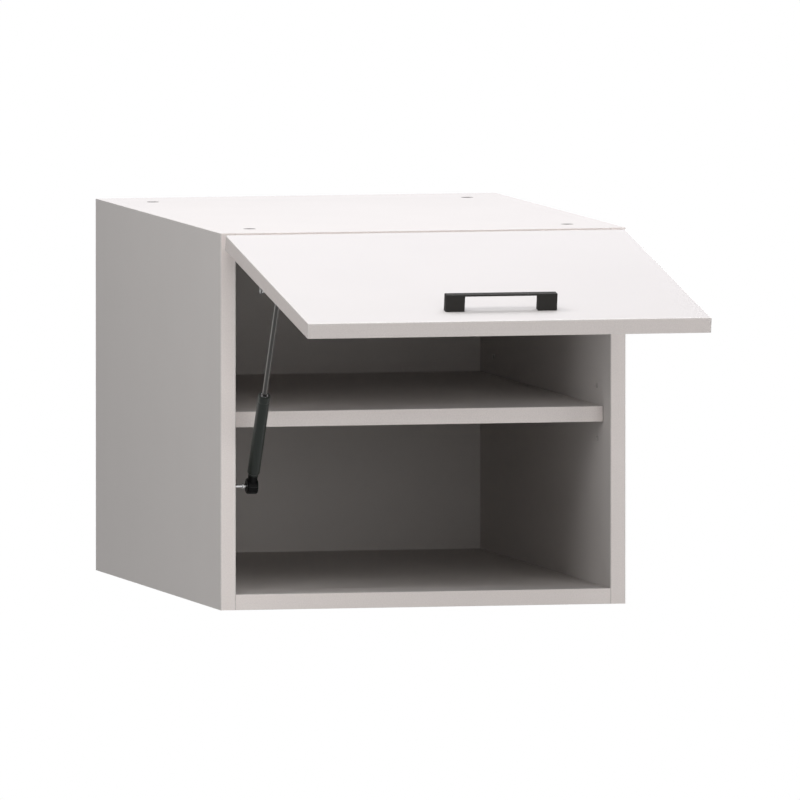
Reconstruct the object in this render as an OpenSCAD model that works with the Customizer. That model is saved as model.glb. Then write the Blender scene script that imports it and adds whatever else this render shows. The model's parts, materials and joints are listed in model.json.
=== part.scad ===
// Lift-up wall cabinet: a laminated board box with one adjustable shelf and a flap that swings
// up on two concealed hinges and is held open by a gas strut on its left side.
// X runs to the right, Y to the wall and Z up. The origin is the middle of the back face, where
// the cabinet meets the wall. The flap is drawn open, resting on the extended strut.

/* [Carcass] */
// Overall width
body_w = 400; // [340:1:600]
// Overall height
body_h = 363; // [340:1:480]
// Depth of the side, top and bottom boards, with their front bands
carcass_d = 548; // [420:1:620]
// Thickness of the carcass boards
board_t = 15; // [14:0.5:19]
// Thickness of the back panel
back_t = 3; // [2.5:0.5:5]
// Setback of the back panel's edges from the outer faces
back_inset = 1; // [0.5:0.5:3]
// Thickness of the edge bands
band_t = 1; // [0.6:0.1:2]
// Corner radius of the edge bands
band_r = 0.5; // [0.1:0.1:0.5]

/* [Shelf] */
// Thickness of the shelf
shelf_t = 15; // [14:0.5:19]
// Setback of the shelf from the front edges
shelf_setback = 29; // [27:1:60]
// Gap between the shelf and each side
shelf_side_gap = 0.75; // [0.5:0.25:2]
// Gap between the shelf and the back panel
shelf_back_gap = 2; // [1:0.5:10]
// Diameter of the shelf pins
pin_d = 5; // [4:0.5:6]
// Length of a shelf pin inside the side board
pin_seat = 8; // [6:0.5:10]
// Length of a shelf pin under the shelf
pin_reach = 8; // [5:0.5:12]
// Distance of the pin rows from the front and rear edges
pin_row_in = 56; // [45:1:90]
// Height from one pin hole to the next
pin_pitch = 25.5; // [20:0.5:40]

/* [Corner joints] */
// Diameter of the cam locks
cam_d = 12; // [10:0.5:13]
// Height of the cam locks
cam_h = 9.5; // [8:0.5:10]
// Distance of a cam from its panel's end
cam_in = 28; // [22:0.5:34]
// Distance of the cam rows from the front and rear edges
cam_row_in = 63; // [50:1:90]
// Thickness of the cover cap on a cam
cam_cap_t = 1.2; // [0.8:0.1:1.6]
// Depth of a cover cap below the panel's face
cam_cap_sink = 0.8; // [0.1:0.1:1]
// Diameter of the cam bolts
bolt_d = 5; // [4:0.5:6]
// Diameter of the dowels
dowel_d = 8; // [6:0.5:8]
// Length of the dowels
dowel_len = 30; // [24:1:36]
// Depth of a dowel in the side board
dowel_seat = 9.5; // [8:0.5:10]
// Distance of the dowels from the front and rear edges
dowel_row_in = 31; // [24:1:40]
// Radial clearance of pins, bolts and dowels in their holes
hole_play = 0.1; // [0.05:0.05:0.2]

/* [Back nails] */
// Diameter of a nail's head
nail_head_d = 4.4; // [3:0.2:6]
// Thickness of a nail's head
nail_head_t = 0.8; // [0.5:0.1:1.2]
// Diameter of a nail's shank
nail_d = 1.6; // [1.2:0.1:2]
// Length of a nail
nail_len = 18; // [14:1:25]
// Most spacing between two nails
nail_step = 140; // [80:5:200]

/* [Wall hangers] */
// Width of a hanger's housing
hanger_w = 22; // [18:1:30]
// Height of a hanger's housing
hanger_h = 34; // [30:1:60]
// Depth of a hanger's housing
hanger_d = 44; // [40:1:60]
// Wall of a hanger's housing
hanger_wall = 2; // [1.5:0.5:3]
// Thickness of the hook
hook_t = 3; // [2:0.5:4]
// Drop of the hook's lip
hook_drop = 12; // [8:1:16]
// Margin of the window in the back panel around the housing
window_gap = 2; // [1:0.5:5]

/* [Flap] */
// Thickness of the flap
flap_t = 15; // [14:0.5:19]
// Gap from the flap's side edges to the outer faces of the carcass
flap_side_gap = 2.5; // [1:0.5:4]
// Gap above the closed flap
flap_top_gap = 2; // [1.5:0.5:3]
// Gap below the closed flap
flap_bottom_gap = 2; // [0:0.5:4]
// Gap behind the closed flap
flap_back_gap = 2; // [1.5:0.5:3]
// Opening angle of the flap as drawn, held by the extended strut
flap_open = 80; // [60:1:90]
// Diameter of the flap's bumpers
bumper_d = 8; // [6:0.5:12]
// Gap between a bumper and the closed carcass
bumper_gap = 0.3; // [0.2:0.1:0.8]

/* [Handle] */
// Length of the handle
handle_len = 109; // [106:1:180]
// Height of the handle off the flap
handle_h = 16.5; // [14:0.5:40]
// Width of the handle across its bar
handle_w = 9; // [7:0.5:14]
// Length of each foot of the handle along the bar
handle_foot = 18.5; // [12:0.5:24]
// Thickness of the bar
handle_bar_t = 1.8; // [1.5:0.1:6]
// Height of the handle's middle above the flap's lower edge
handle_up = 42; // [30:1:120]
// Distance between the handle's screws
handle_holes = 96; // [90:1:96]
// Diameter of the handle's screws
handle_screw_d = 4; // [3:0.5:5]
// Length of the thread inside the handle
handle_thread = 9; // [6:1:12]

/* [Hinges] */
// Swing axis of the flap, in front of the carcass
axis_out = 13.2; // [12.5:0.1:14.5]
// Swing axis of the flap, below the carcass top
axis_down = 5.3; // [4.8:0.1:6]
// Distance of each hinge from the flap's side edge
hinge_in = 90; // [80:1:110]
// Diameter of the hinge cups
cup_d = 35; // [34:0.5:36]
// Depth of the hinge cups in the flap
cup_depth = 11.3; // [11.3:0.1:12]
// Edge distance of the cup's bore
cup_edge = 3; // [3:0.5:4]
// Wall of the cup
cup_wall = 1; // [0.8:0.1:1.2]
// Thickness of the cup's flange
flange_t = 1; // [0.8:0.1:1]
// Distance between the cup's screws
cup_screws = 48; // [45:1:52]
// Depth of the outer links' pivot below the flap's inner face
outer_pin_in = 3.5; // [3:0.1:4]
// Depth of the inner links' pivot below the flap's inner face
inner_pin_in = 0.4; // [0.2:0.1:0.6]
// Distance of the outer links' pivot from the flap's top edge
outer_pin_down = 7.2; // [7:0.1:7.6]
// Distance of the inner links' pivot from the flap's top edge
inner_pin_down = 6.6; // [6.5:0.1:7]
// Distance from the swing axis to the outer links' arm pivot
outer_reach = 36; // [35:0.5:38]
// Distance from the swing axis to the inner links' arm pivot
inner_reach = 28; // [27:0.5:29]
// Thickness of the outer links' plates
link_t = 1.6; // [1.2:0.1:1.8]
// Width of the outer links' plates
link_w = 3; // [2.6:0.1:3.2]
// Width of the inner links' plates
inner_link_w = 2.4; // [2.2:0.1:2.6]
// Diameter of the link pins
link_pin_d = 2.4; // [2:0.1:2.6]
// Width over the arm's cheeks
arm_w = 18; // [17:0.5:20]
// Sheet thickness of the arm and its plate
arm_t = 1.5; // [1.2:0.1:2]
// Length of the arm behind the carcass front
arm_len = 62; // [56:1:80]
// Width of the mounting plate
plate_w = 46; // [42:1:54]
// Length of the mounting plate
plate_len = 24; // [20:1:30]
// Distance of the mounting plate's middle behind the front
plate_in = 38; // [36:1:42]

/* [Gas strut] */
// Distance of the strut's axis from the side board
strut_stand = 20; // [19:0.5:24]
// Distance of the foot stud behind the carcass front
foot_in = 20; // [18:0.5:26]
// Distance of the foot stud below the carcass top
foot_down = 245; // [240:1:252]
// Distance of the head stud from the flap's top edge
head_down = 96.1; // [94:0.1:98]
// Distance of the head stud from the flap's inner face
head_off = 17; // [16:0.5:18]
// Diameter of the strut's tube
tube_d = 12; // [10:0.5:15]
// Length of the strut's tube
tube_len = 94.7; // [93:0.1:96]
// Wall of the strut's tube
tube_wall = 1; // [0.8:0.1:1.5]
// Diameter of the strut's rod
rod_d = 5; // [4:0.5:6]
// Length of the guide in the tube's mouth
guide_len = 5; // [4:0.5:6]
// Length of the piston
piston_len = 2.5; // [2:0.5:4]
// Diameter of the balls of the studs
ball_d = 7; // [6:0.5:7.5]
// Radial clearance of a ball in its socket
ball_play = 0.3; // [0.2:0.05:0.4]
// Length of a socket's barrel along its stud
socket_w = 10.4; // [10:0.2:12]
// Diameter of a socket's barrel
socket_d = 15.2; // [14:0.2:16]
// Distance from a ball's middle to the tube or rod
socket_neck = 12.4; // [11:0.2:13]
// Diameter of a stud's pin
stud_d = 3.4; // [2.4:0.2:3.8]
// Depth of the foot stud's screw in the side board
stud_seat = 9; // [7:0.5:11]
// Gap between the foot stud and its screw in the side board
foot_gap = 0.3; // [0.2:0.05:0.5]
// Distance of the head bracket's ear from the side board
ear_gap = 1; // [0.8:0.1:2]
// Sheet thickness of the head bracket
ear_t = 1.6; // [1.2:0.1:2]
// Width of the head bracket's ear
ear_w = 6; // [5.6:0.2:9]
// Length of the head bracket's foot on the flap
bracket_len = 34; // [30:1:44]
// Width of the head bracket's foot on the flap
bracket_w = 10; // [9:0.5:10]

/* [Hidden] */
$fn = 48;

inner_w = body_w - 2 * board_t;
inner_x = inner_w / 2;
front_y = -(carcass_d + back_t);
top_z = body_h / 2;
floor_z = -top_z + board_t;
ceiling_z = top_z - board_t;
round_r = min(band_r, band_t / 2);
cut = 1;        // overrun of a cutting tool past the face that it cuts
seat_gap = 0.1; // gap left behind the end of a pin in a blind hole

// --- Places -----------------------------------------------------------------------------------
// A place seen from the side is [forward of the carcass front, above the carcass top].
function from_side(p) = [front_y - p[0], top_z + p[1]];
function turned(p, a) = [p[0] * cos(a) - p[1] * sin(a), p[0] * sin(a) + p[1] * cos(a)];
function polar(r, a) = [r * cos(a), r * sin(a)];
function angle_of(v) = atan2(v[1], v[0]);

axis_p = [axis_out, -axis_down];
flap_w = body_w - 2 * flap_side_gap;
flap_h = body_h - flap_top_gap - flap_bottom_gap;
flap_in = flap_back_gap;
flap_out = flap_back_gap + flap_t;
flap_top = -flap_top_gap;

// A place on the closed flap, carried round with it as it opens
function opened(p) = axis_p + turned(p - axis_p, flap_open);

outer_pin_p = [flap_in + outer_pin_in, flap_top - outer_pin_down];
inner_pin_p = [flap_in + inner_pin_in, flap_top - inner_pin_down];
// Each arm pivot lies where its link is as long with the flap closed as with it open
function arm_pivot(pin, reach) = axis_p + polar(reach, angle_of(pin - axis_p) + flap_open / 2);
outer_arm_p = arm_pivot(outer_pin_p, outer_reach);
inner_arm_p = arm_pivot(inner_pin_p, inner_reach);

foot_p = [-foot_in, -foot_down];
head_p = opened([flap_in - head_off, flap_top - head_down]);
strut_v = head_p - foot_p;
strut_len = norm(strut_v);
strut_lean = atan2(strut_v[0], strut_v[1]);
strut_x = -inner_x + strut_stand;

// Profile drawn as [Y, Z] and carried along X from x over the width w
module along_x(x, w) { translate([x, 0, 0]) rotate([90, 0, 90]) linear_extrude(w) children(); }
// The same about the middle plane x
module across_x(x, w) { along_x(x - w / 2, w) children(); }
// Round bar along X, at a place seen from the side
module bar_x(p, x, w, d) {
    q = from_side(p);
    translate([x, q[0], q[1]]) rotate([0, 90, 0]) cylinder(d = d, h = w);
}
module both_sides() { children(); mirror([1, 0, 0]) children(); }
module box(x, y, z) { translate([x[0], y[0], z[0]]) cube([x[1] - x[0], y[1] - y[0], z[1] - z[0]]); }
// What is drawn on the closed flap swings up with it
module on_flap() {
    c = from_side(axis_p);
    translate([0, c[0], c[1]]) rotate([-flap_open, 0, 0]) translate([0, -c[0], -c[1]]) children();
}
// Local Z runs up the strut from the foot ball
module on_strut() {
    q = from_side(foot_p);
    translate([strut_x, q[0], q[1]]) rotate([strut_lean, 0, 0]) children();
}

// --- Carcass ----------------------------------------------------------------------------------
laminate = [0.83, 0.81, 0.79];
steel = [0.72, 0.73, 0.74];
black = [0.07, 0.07, 0.07];

rear_y = -back_t;
body_y = [front_y + band_t, rear_y];
function rows(inset) = [front_y + inset, rear_y - inset];
panel_mid = [top_z - board_t / 2, -top_z + board_t / 2];

// Holes in the left side board that take the corner joints, the shelf pins and the foot stud
module joint_holes() {
    for (z = panel_mid) {
        for (y = rows(dowel_row_in)) side_hole(y, z, dowel_d, dowel_seat);
        for (y = rows(cam_row_in)) side_hole(y, z, bolt_d, dowel_seat);
    }
    for (y = rows(pin_row_in), step = [-1, 0, 1]) side_hole(y, step * pin_pitch, pin_d, pin_seat);
}
module side_hole(y, z, d, depth) {
    translate([-inner_x - depth - seat_gap, y, z]) rotate([0, 90, 0])
        cylinder(d = d + 2 * hole_play, h = depth + seat_gap + cut);
}
module side_board() {
    difference() {
        box([-body_w / 2, -inner_x], body_y, [-top_z, top_z]);
        joint_holes();
        hanger_plug_holes();
        nail_holes();
    }
}
module left_side() color(laminate) difference() {
    side_board();
    bar_x(foot_p, -inner_x - stud_seat - seat_gap, stud_seat + seat_gap + cut,
        stud_d + 2 * hole_play);
}
module right_side() color(laminate) mirror([1, 0, 0]) side_board();

cam_x = inner_x - cam_in;
cam_pocket = cam_cap_sink + cam_cap_t + cam_h + 2 * seat_gap;
bolt_hole = cam_in - cam_d / 2 + cut;

// A horizontal panel, drawn as the top one, with its cams let in from above
module flat_panel() {
    difference() {
        box([-inner_x, inner_x], body_y, [ceiling_z, top_z]);
        both_sides() {
            for (y = rows(cam_row_in)) {
                translate([cam_x, y, top_z - cam_pocket])
                    cylinder(d = cam_d + 2 * hole_play, h = cam_pocket + cut);
                translate([cam_x + cam_d / 2 - cut, y, panel_mid[0]]) rotate([0, 90, 0])
                    cylinder(d = bolt_d + 2 * hole_play, h = bolt_hole + cut);
            }
            for (y = rows(dowel_row_in))
                translate([inner_x - dowel_len + dowel_seat - seat_gap, y, panel_mid[0]])
                    rotate([0, 90, 0])
                    cylinder(d = dowel_d + 2 * hole_play, h = dowel_len + cut);
        }
        nail_holes();
    }
}
module top_panel() color(laminate) difference() {
    flat_panel();
    at_hinges() for (dx = plate_screw_xs) translate([dx, plate_mid_y, ceiling_z - cut])
        cylinder(d = cup_screw_d + 2 * hole_play, h = plate_screw_len - arm_t + seat_gap + cut);
}
module bottom_panel() color(laminate) mirror([0, 0, 1]) flat_panel();

window_x = [inner_x - hanger_w - window_gap, inner_x];
window_z = [ceiling_z - hanger_h - window_gap, ceiling_z];
module back_panel() color([0.75, 0.73, 0.70]) difference() {
    box([-body_w / 2 + back_inset, body_w / 2 - back_inset], [rear_y, 0],
        [-top_z + back_inset, top_z - back_inset]);
    both_sides() box(window_x, [rear_y - cut, cut], window_z);
    nail_holes();
}

shelf_x = inner_x - shelf_side_gap;
shelf_front = front_y + shelf_setback;
shelf_rear = rear_y - shelf_back_gap;
notch_w = pin_d + 4 * hole_play;
module shelf() color(laminate) difference() {
    box([-shelf_x, shelf_x], [shelf_front + band_t, shelf_rear], [-shelf_t / 2, shelf_t / 2]);
    both_sides() for (y = rows(pin_row_in))
        box([inner_x - pin_reach - seat_gap, inner_x + cut], [y - notch_w / 2, y + notch_w / 2],
            [-shelf_t / 2 - cut, pin_d / 2 + hole_play / 2]);
}

// Cross-section of an edge band: its face on y = 0, with both front corners rounded
module band_section(w) {
    translate([0, round_r]) square([w, band_t - round_r]);
    translate([round_r, 0]) square([w - 2 * round_r, round_r + 0.01]);
    for (x = [round_r, w - round_r]) translate([x, round_r]) circle(r = round_r);
}
module band_upright(x, z, w, h) {
    translate([x, front_y, z]) linear_extrude(h) band_section(w);
}
module band_level(x, y, z, len, w) {
    translate([0, y, z]) along_x(x, len) mirror([1, -1]) band_section(w);
}
module carcass_bands() color(laminate) {
    both_sides() band_upright(inner_x, -top_z, board_t, body_h);
    for (z = [-top_z, ceiling_z]) band_level(-inner_x, front_y, z, inner_w, board_t);
}
module shelf_band() color(laminate)
    band_level(-shelf_x, shelf_front, -shelf_t / 2, 2 * shelf_x, shelf_t);

module shelf_pins() color(steel) both_sides() for (y = rows(pin_row_in))
    translate([inner_x - pin_reach, y, 0]) rotate([0, 90, 0])
        cylinder(d = pin_d, h = pin_reach + pin_seat);

// --- Corner joints ----------------------------------------------------------------------------
bolt_neck_d = bolt_d - 1.6;
bolt_head_d = bolt_d - 0.2;
bolt_head_len = 2.4;
bolt_neck_len = 3;
cam_slot = [6, 1.2, 1.5];       // length, width and depth of the screwdriver slot
module at_cams() {
    for (side = [0, 1], level = [0, 1], y = rows(cam_row_in))
        mirror([side, 0, 0]) mirror([0, 0, level]) translate([cam_x, y, top_z]) children();
}
cam_top = -cam_cap_sink - cam_cap_t - seat_gap;
bolt_z = -board_t / 2;
module cam_locks() color([0.55, 0.55, 0.56]) at_cams() difference() {
    translate([0, 0, cam_top - cam_h]) cylinder(d = cam_d, h = cam_h);
    translate([-1, 0, bolt_z]) rotate([0, 90, 0]) cylinder(d = bolt_d + 2 * hole_play, h = cam_d);
    // Cross slot for the screwdriver
    for (a = [0, 90]) rotate([0, 0, a])
        translate([-cam_slot[0] / 2, -cam_slot[1] / 2, cam_top - cam_slot[2]])
        cube([cam_slot[0], cam_slot[1], cam_slot[2] + cut]);
}
module cam_bolts() color(steel) at_cams() translate([0, 0, bolt_z]) rotate([0, 90, 0]) {
    thread = bolt_head_len + bolt_neck_len;
    cylinder(d = bolt_head_d, h = bolt_head_len);
    translate([0, 0, bolt_head_len]) cylinder(d = bolt_neck_d, h = bolt_neck_len);
    translate([0, 0, thread]) cylinder(d = bolt_d, h = cam_in + dowel_seat - thread);
}
module cam_caps() color([0.78, 0.77, 0.76]) at_cams()
    translate([0, 0, -cam_cap_sink - cam_cap_t]) cylinder(d = cam_d, h = cam_cap_t);
dowel_chamfer = 0.8;
module dowels() color([0.80, 0.66, 0.45])
    for (side = [0, 1], z = panel_mid, y = rows(dowel_row_in)) mirror([side, 0, 0])
        translate([inner_x + dowel_seat - dowel_len, y, z]) rotate([0, 90, 0])
        rotate_extrude() polygon([[0, 0], [dowel_d / 2 - dowel_chamfer, 0],
            [dowel_d / 2, dowel_chamfer], [dowel_d / 2, dowel_len - dowel_chamfer],
            [dowel_d / 2 - dowel_chamfer, dowel_len], [0, dowel_len]]);

// --- Back nails -------------------------------------------------------------------------------
function spread(from, to) = let (n = ceil((to - from) / nail_step))
    [for (i = [0 : n]) from + (to - from) * i / n];
nail_x = body_w / 2 - board_t / 2;
nail_z = top_z - board_t / 2;
nail_places = concat(
    [for (z = spread(-nail_z, nail_z), x = [-nail_x, nail_x]) [x, z]],
    [for (x = spread(-nail_x, nail_x), z = [-nail_z, nail_z]) if (abs(x) < nail_x) [x, z]]);
module nail_shape(play) {
    translate([0, -nail_len - 2 * play, 0]) rotate([-90, 0, 0])
        cylinder(d = nail_d + 2 * play, h = nail_len + 2 * play - 0.01);
    translate([0, -nail_head_t - play, 0]) rotate([-90, 0, 0])
        cylinder(d = nail_head_d + 2 * play, h = nail_head_t + (play > 0 ? cut : 0));
}
module nail_holes() {
    for (p = nail_places) translate([p[0], 0, p[1]]) nail_shape(hole_play);
}
module back_nails() color(steel) for (p = nail_places) translate([p[0], -seat_gap, p[1]])
    nail_shape(0);

// --- Wall hangers -----------------------------------------------------------------------------
plug_d = 10;
plug_len = 9;
plug_in = 11;
hook_up = 11;
hanger_y = [rear_y - hanger_d, rear_y];
hanger_z = [ceiling_z - hanger_h, ceiling_z];
hanger_mid_x = inner_x - hanger_w / 2;
function plug_ys() = [hanger_y[0] + plug_in, hanger_y[1] - plug_in];
module hanger_plug_holes() for (y = plug_ys())
    side_hole(y, (hanger_z[0] + hanger_z[1]) / 2, plug_d, plug_len);
// Housing of pressed sheet, open to the wall, with two plugs that hold it in the side board
module hanger_housings() color([0.80, 0.80, 0.79]) both_sides() {
    difference() {
        box([inner_x - hanger_w, inner_x], hanger_y, hanger_z);
        box([inner_x - hanger_w + hanger_wall, inner_x - hanger_wall],
            [hanger_y[0] + hanger_wall, cut], [hanger_z[0] + hanger_wall, hanger_z[1] - hanger_wall]);
        for (z = hanger_screw_zs) translate([hanger_mid_x, hanger_y[0] - cut, z])
            rotate([-90, 0, 0]) cylinder(d = hanger_screw_d + 2 * hole_play, h = hanger_wall + 2 * cut);
    }
    for (y = plug_ys()) translate([inner_x, y, (hanger_z[0] + hanger_z[1]) / 2])
        rotate([0, 90, 0]) cylinder(d = plug_d, h = plug_len);
}
hook_w = hanger_w - 2 * hanger_wall;
hook_z = hanger_z[1] - hanger_wall - hook_up;
hook_front = hanger_y[0] + hanger_wall + 12;
hook_rear = -0.5;
hook_toe = hook_z - hook_drop + hook_t;
hook_chamfer = 0.8;
hook_heel = [8, 6];             // reach and drop of the wedge that the upper screw holds
// Hook: a bar with a wedge at its front and a lip down the wall side
module hanger_hooks() color(steel) both_sides() across_x(hanger_mid_x, hook_w)
    polygon([[hook_front, hook_z + hook_t], [hook_front, hook_z - hook_heel[1]],
        [hook_front + hook_heel[0], hook_z], [hook_rear - hook_t, hook_z],
        [hook_rear - hook_t, hook_toe], [hook_rear - hook_chamfer, hook_toe],
        [hook_rear, hook_toe + hook_chamfer], [hook_rear, hook_z + hook_t]]);
hanger_screw_d = 5;
hanger_head = [8, 2];           // diameter and thickness of a hanger screw's head
hanger_slot = [5, 1];
hanger_screw_zs = [hook_z + hook_t / 2 - 2, hanger_z[0] + hanger_wall + 7];
// The upper screw draws the cabinet to the wall, and the lower one sets its height
module hanger_screws() color(steel) both_sides() for (z = hanger_screw_zs)
    translate([hanger_mid_x, hanger_y[0] - hanger_head[1], z]) rotate([-90, 0, 0]) difference() {
        union() {
            cylinder(d = hanger_head[0], h = hanger_head[1]);
            cylinder(d = hanger_screw_d, h = hook_front - hanger_y[0] + hanger_head[1]);
        }
        for (a = [0, 90]) rotate([0, 0, a])
            translate([-hanger_slot[0] / 2, -hanger_slot[1] / 2, -cut])
            cube([hanger_slot[0], hanger_slot[1], hanger_head[1] / 2 + cut]);
    }

// --- Flap -------------------------------------------------------------------------------------
flap_x = flap_w / 2;
flap_y = [front_y - flap_out, front_y - flap_in];
flap_z = [top_z + flap_top - flap_h, top_z + flap_top];
hinge_x = flap_x - hinge_in;
cup_z = flap_z[1] - cup_edge - cup_d / 2;
cup_screw_drop = 9.5;
handle_z = flap_z[0] + handle_up;
module flap_panel() color([0.90, 0.89, 0.88]) on_flap() difference() {
    box([-flap_x + band_t, flap_x - band_t], flap_y, [flap_z[0] + band_t, flap_z[1] - band_t]);
    both_sides() {
        translate([hinge_x, flap_y[1] + cut, cup_z]) rotate([90, 0, 0])
            cylinder(d = cup_d, h = cup_depth + cut);
        for (dx = [-cup_screws / 2, cup_screws / 2])
            translate([hinge_x + dx, flap_y[1] + cut, cup_z - cup_screw_drop]) rotate([90, 0, 0])
            cylinder(d = cup_screw_d + 2 * hole_play, h = cup_screw_len + seat_gap + cut);
    }
    for (x = [-handle_holes / 2, handle_holes / 2])
        translate([x, flap_y[1] + cut, handle_z]) rotate([90, 0, 0])
        cylinder(d = handle_screw_d + 1, h = flap_t + 2 * cut);
    for (z = bracket_screw_zs) translate([bracket_mid_x, flap_y[1] + cut, z])
        rotate([90, 0, 0]) cylinder(d = bracket_screw_d + 2 * hole_play, h = bracket_screw_len + 2);
}
// Edge band of the flap: a strip as thick as the flap with both outer corners rounded
module flap_band(len) {
    translate([-len / 2, 0, 0]) rotate([90, 0, 90]) linear_extrude(len)
        translate([flap_y[0], 0]) mirror([0, 1]) band_section(flap_t);
}
module flap_bands() color([0.86, 0.85, 0.83]) on_flap() {
    translate([0, 0, flap_z[1]]) flap_band(flap_w);
    translate([0, 0, flap_z[0]]) mirror([0, 0, 1]) flap_band(flap_w);
    both_sides() translate([flap_x, 0, (flap_z[0] + flap_z[1]) / 2]) rotate([0, 90, 0])
        flap_band(flap_h - 2 * band_t);
}
bumper_in = 7;
module flap_bumpers() color([0.85, 0.85, 0.83, 0.8]) on_flap() both_sides()
    translate([flap_x - bumper_in, flap_y[1], flap_z[0] + bumper_in + 4]) rotate([-90, 0, 0])
    cylinder(d1 = bumper_d, d2 = bumper_d - 2, h = flap_back_gap - bumper_gap);

// --- Handle -----------------------------------------------------------------------------------
handle_r = 0.8;
// Outline of the handle seen along its width: two block feet under a thin bar
module handle_outline() {
    w = handle_len / 2;
    translate([-w, handle_h - handle_bar_t]) square([handle_len, handle_bar_t - handle_r]);
    translate([-w + handle_r, 0]) square([handle_foot - handle_r, handle_h]);
    translate([w - handle_foot, 0]) square([handle_foot - handle_r, handle_h]);
    translate([-w, 0]) square([handle_foot, handle_h - handle_r]);
    translate([w - handle_foot, 0]) square([handle_foot, handle_h - handle_r]);
    translate([-w + handle_r, handle_h - handle_bar_t])
        square([handle_len - 2 * handle_r, handle_bar_t]);
    for (x = [-w + handle_r, w - handle_r]) translate([x, handle_h - handle_r]) circle(r = handle_r);
}
module handle() color(black) on_flap() translate([0, flap_y[0], handle_z]) difference() {
    translate([0, 0, -handle_w / 2]) linear_extrude(handle_w) mirror([0, 1]) handle_outline();
    for (x = [-handle_holes / 2, handle_holes / 2]) translate([x, cut, 0]) rotate([90, 0, 0])
        cylinder(d = handle_screw_d + 2 * hole_play, h = handle_thread + seat_gap + cut);
}
handle_head = [8, 1.8];         // diameter and height of the screw heads
wood_head = [7, 1.6];
bracket_head = [6, 1.5];
// Pan head on z = 0, rising to z = t, with a cross recess
module pan_head(d, t) {
    difference() {
        rotate_extrude() {
            polygon([[0, 0], [d / 2, 0], [d / 2, t * 0.4], [d / 2 - t * 0.6, t], [0, t]]);
        }
        for (a = [0, 90]) rotate([0, 0, a]) translate([-d / 4, -d / 20, t * 0.45])
            cube([d / 2, d / 10, t]);
    }
}
module handle_screws() color(steel) on_flap()
    for (x = [-handle_holes / 2, handle_holes / 2]) translate([x, flap_y[1], handle_z]) {
        rotate([-90, 0, 0]) pan_head(handle_head[0], handle_head[1]);
        rotate([90, 0, 0]) cylinder(d = handle_screw_d, h = flap_t + handle_thread);
    }

// --- Hinges -----------------------------------------------------------------------------------
cup_screw_d = 3.5;
cup_screw_len = 10;
flange_r = cup_d / 2 + 1.2;
wing_r = 5;
module at_hinges() both_sides() translate([hinge_x, 0, 0]) children();
// Cup with its flange and screw wings, seen from inside the cabinet
module hinge_cups() color(steel) on_flap() at_hinges()
    translate([0, flap_y[1], cup_z]) rotate([-90, 0, 0]) difference() {
        union() {
            translate([0, 0, -cup_depth + seat_gap]) cylinder(d = cup_d - 2 * seat_gap,
                h = cup_depth);
            cylinder(r = flange_r, h = flange_t);
            for (dx = [-cup_screws / 2, cup_screws / 2]) translate([dx, cup_screw_drop, 0])
                cylinder(r = wing_r, h = flange_t);
            translate([-cup_screws / 2, cup_screw_drop - wing_r, 0])
                cube([cup_screws, 2 * wing_r, flange_t]);
        }
        translate([0, 0, -cup_depth + seat_gap + cup_wall])
            cylinder(r = cup_d / 2 - cup_wall, h = cup_depth + flange_t);
        for (dx = [-cup_screws / 2, cup_screws / 2]) translate([dx, cup_screw_drop, -cut])
            cylinder(d = cup_screw_d + 2 * hole_play, h = flange_t + 2 * cut);
    }
module cup_screw_set() color(steel) on_flap() at_hinges()
    for (dx = [-cup_screws / 2, cup_screws / 2])
        translate([dx, flap_y[1], cup_z - cup_screw_drop]) {
            translate([0, flange_t, 0]) rotate([-90, 0, 0]) pan_head(wood_head[0], wood_head[1]);
            translate([0, flange_t, 0]) rotate([90, 0, 0]) cylinder(d = cup_screw_d,
                h = cup_screw_len + flange_t);
        }

knee_swell = 0.2;               // how far the round knee stands past the legs
// A link plate: two straight legs between round eyes, bent at the knee
module link_plate(a, knee, b, w, r) {
    for (p = [a, b]) translate(from_side(p)) circle(r = r);
    translate(from_side(knee)) circle(r = w / 2 + knee_swell);
    leg(a, knee, w);
    leg(knee, b, w);
}
module leg(a, b, w) {
    p = from_side(a);
    q = from_side(b);
    translate(p) rotate([0, 0, angle_of(q - p)]) translate([0, -w / 2]) square([norm(q - p), w]);
}
outer_knee = opened(outer_pin_p) + [-1.5, -5.0];
inner_knee = opened(inner_pin_p) + [-1.0, -3.8];
link_gap = 0.3;
inner_link_x = 4.8;             // width of the middle link
outer_link_x = inner_link_x / 2 + 1.6;
outer_eye_r = 1.9;
inner_eye_r = 1.6;
cup_pin = [2, 3];               // diameter and length of the pins that ride in the cup
cheek_x = arm_w / 2 - arm_t;
pin_run = 2 * (cheek_x - link_gap);
module outer_links() color(steel) at_hinges() {
    for (s = [-1, 1]) along_x(s > 0 ? outer_link_x : -outer_link_x - link_t, link_t)
        link_plate(opened(outer_pin_p), outer_knee, outer_arm_p, link_w, outer_eye_r);
    bar_x(outer_arm_p, -pin_run / 2, pin_run, link_pin_d);
    for (s = [-1, 1]) bar_x(opened(outer_pin_p), s > 0 ? outer_link_x : -outer_link_x - cup_pin[1],
        cup_pin[1], cup_pin[0]);
}
module inner_links() color(steel) at_hinges() {
    across_x(0, inner_link_x)
        link_plate(opened(inner_pin_p), inner_knee, inner_arm_p, inner_link_w, inner_eye_r);
    bar_x(inner_arm_p, -pin_run / 2, pin_run, inner_pin_d);
}

inner_pin_d = link_pin_d - 0.2;
arm_top = -board_t - arm_t;
web_in = 10;                    // the arm's web and the nose's slope end this far behind the front
nose_out = 0.6;
nose_low = outer_arm_p[1] - 2.8;
nose_front = 9;                 // height of the nose's front edge
nose_slope = [3.5, 3.5];
cheek_drops = [8, 10];          // depth of the cheeks at the rear and before the nose
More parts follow.
